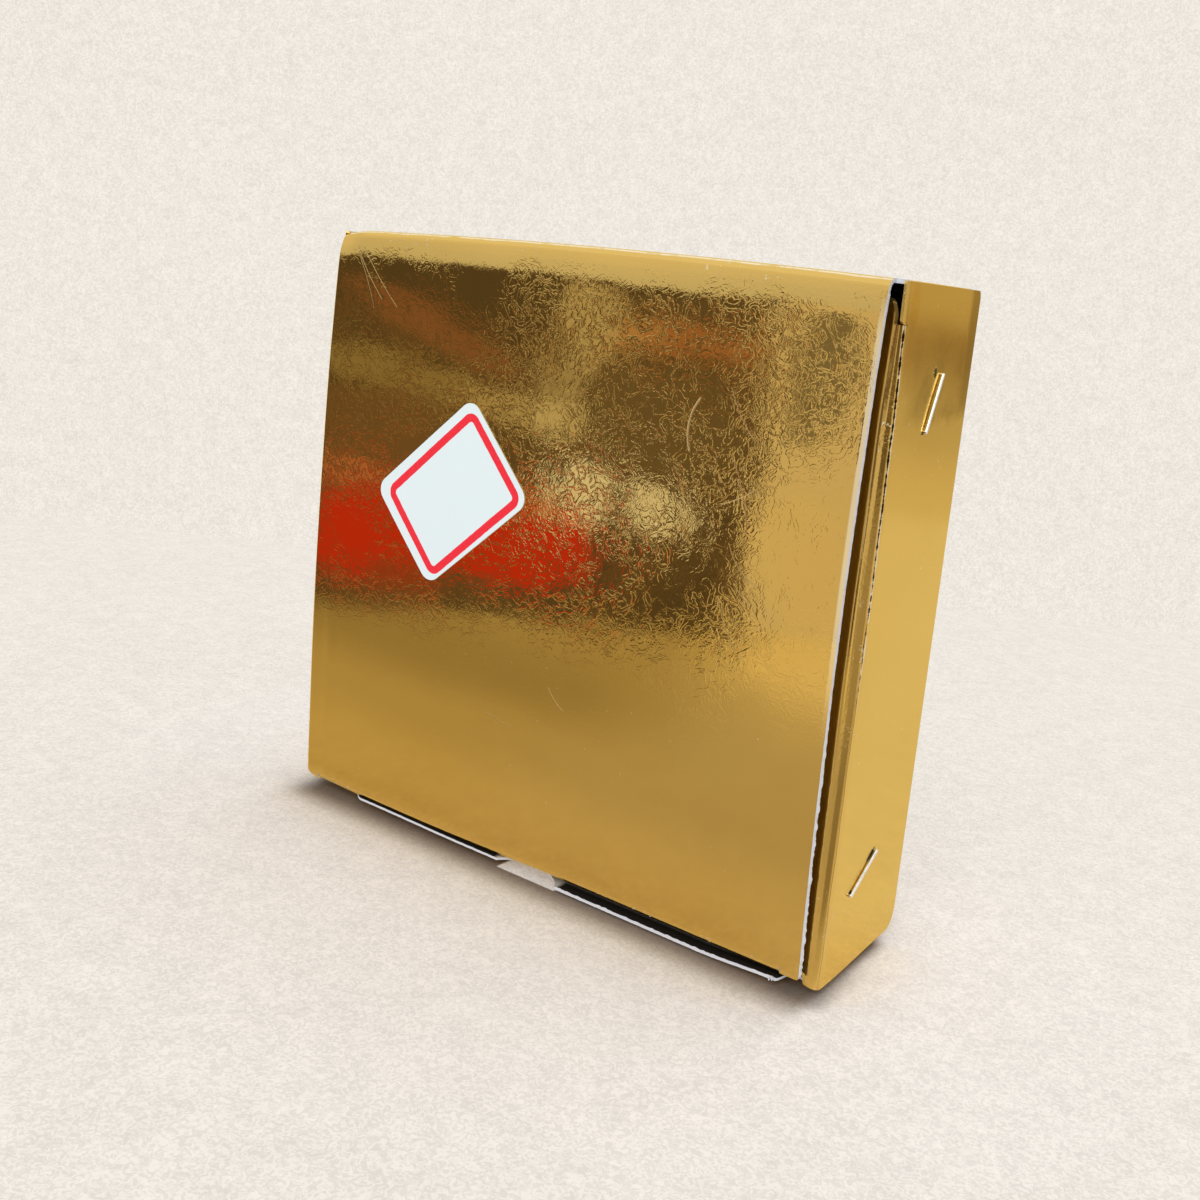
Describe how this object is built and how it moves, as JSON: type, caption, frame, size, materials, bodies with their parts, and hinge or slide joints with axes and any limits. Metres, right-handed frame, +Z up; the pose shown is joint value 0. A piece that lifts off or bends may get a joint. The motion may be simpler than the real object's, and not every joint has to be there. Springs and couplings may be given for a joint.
{
  "type": "sweet box",
  "caption": "Flat rectangular folding carton for sweets in gold foil board: stapled tray, hinged lid with a tuck flap, dust flaps at the sides, a thumb notch and a small bordered price label",
  "frame": {"origin": "centre of the box's footprint as it stands on its long edge, at the lowest face of the bottom wall", "axes": "+X along the width to the right of the lid, +Y from the lid to the tray's back panel, +Z up from the notched bottom wall to the lid's hinge"},
  "size_m": [0.1064, 0.027, 0.0995],
  "materials": {
    "foil_board": "gold foil laminated on thin board, mirror-like and softly wrinkled; raw edges and inner faces are white to pale grey board",
    "label_paper": "smooth white paper with a thin red border line, otherwise blank",
    "staple_wire": "zinc-plated wire, slightly dulled"
  },
  "bodies": {
    "tray": {"back_panel": "foil_board", "top_wall": "foil_board", "bottom_wall": "foil_board", "left_wall": "foil_board", "right_wall": "foil_board", "corner_tab_top_left": "foil_board", "corner_tab_top_right": "foil_board", "corner_tab_bottom_left": "foil_board", "corner_tab_bottom_right": "foil_board", "lid_crease": "foil_board", "left_dust_crease": "foil_board", "right_dust_crease": "foil_board", "staple_upper_left": "staple_wire", "staple_lower_left": "staple_wire", "staple_upper_right": "staple_wire", "staple_lower_right": "staple_wire"},
    "lid": {"lid_panel": "foil_board", "price_label": "label_paper", "tuck_crease": "foil_board"},
    "tuck": {"tuck_flap": "foil_board"},
    "dust_left": {"left_dust_flap": "foil_board"},
    "dust_right": {"right_dust_flap": "foil_board"}
  },
  "joints": [
    {"name": "lid_hinge", "type": "hinge", "parent": "tray", "child": "lid", "pos_m": [0, -0.0122, 0.0983], "axis": [-1, 0, 0], "range_deg": [0, 180], "deforming": ["lid_crease"]},
    {"name": "tuck_fold", "type": "hinge", "parent": "lid", "child": "tuck", "pos_m": [0, -0.0122, 0.0021], "axis": [-1, 0, 0], "range_deg": [0, 45], "deforming": ["tuck_crease"]},
    {"name": "left_dust_fold", "type": "hinge", "parent": "tray", "child": "dust_left", "pos_m": [-0.0515, -0.0111, 0.04975], "axis": [0, 0, -1], "range_deg": [0, 90], "deforming": ["left_dust_crease"]},
    {"name": "right_dust_fold", "type": "hinge", "parent": "tray", "child": "dust_right", "pos_m": [0.0515, -0.0111, 0.04975], "axis": [0, 0, 1], "range_deg": [0, 90], "deforming": ["right_dust_crease"]}
  ],
  "couplings": [
    {"joint": "tuck_fold", "follows": "lid_hinge", "ratio": 0.25},
    {"joint": "left_dust_fold", "follows": "lid_hinge", "ratio": 0.5},
    {"joint": "right_dust_fold", "follows": "lid_hinge", "ratio": 0.5}
  ]
}
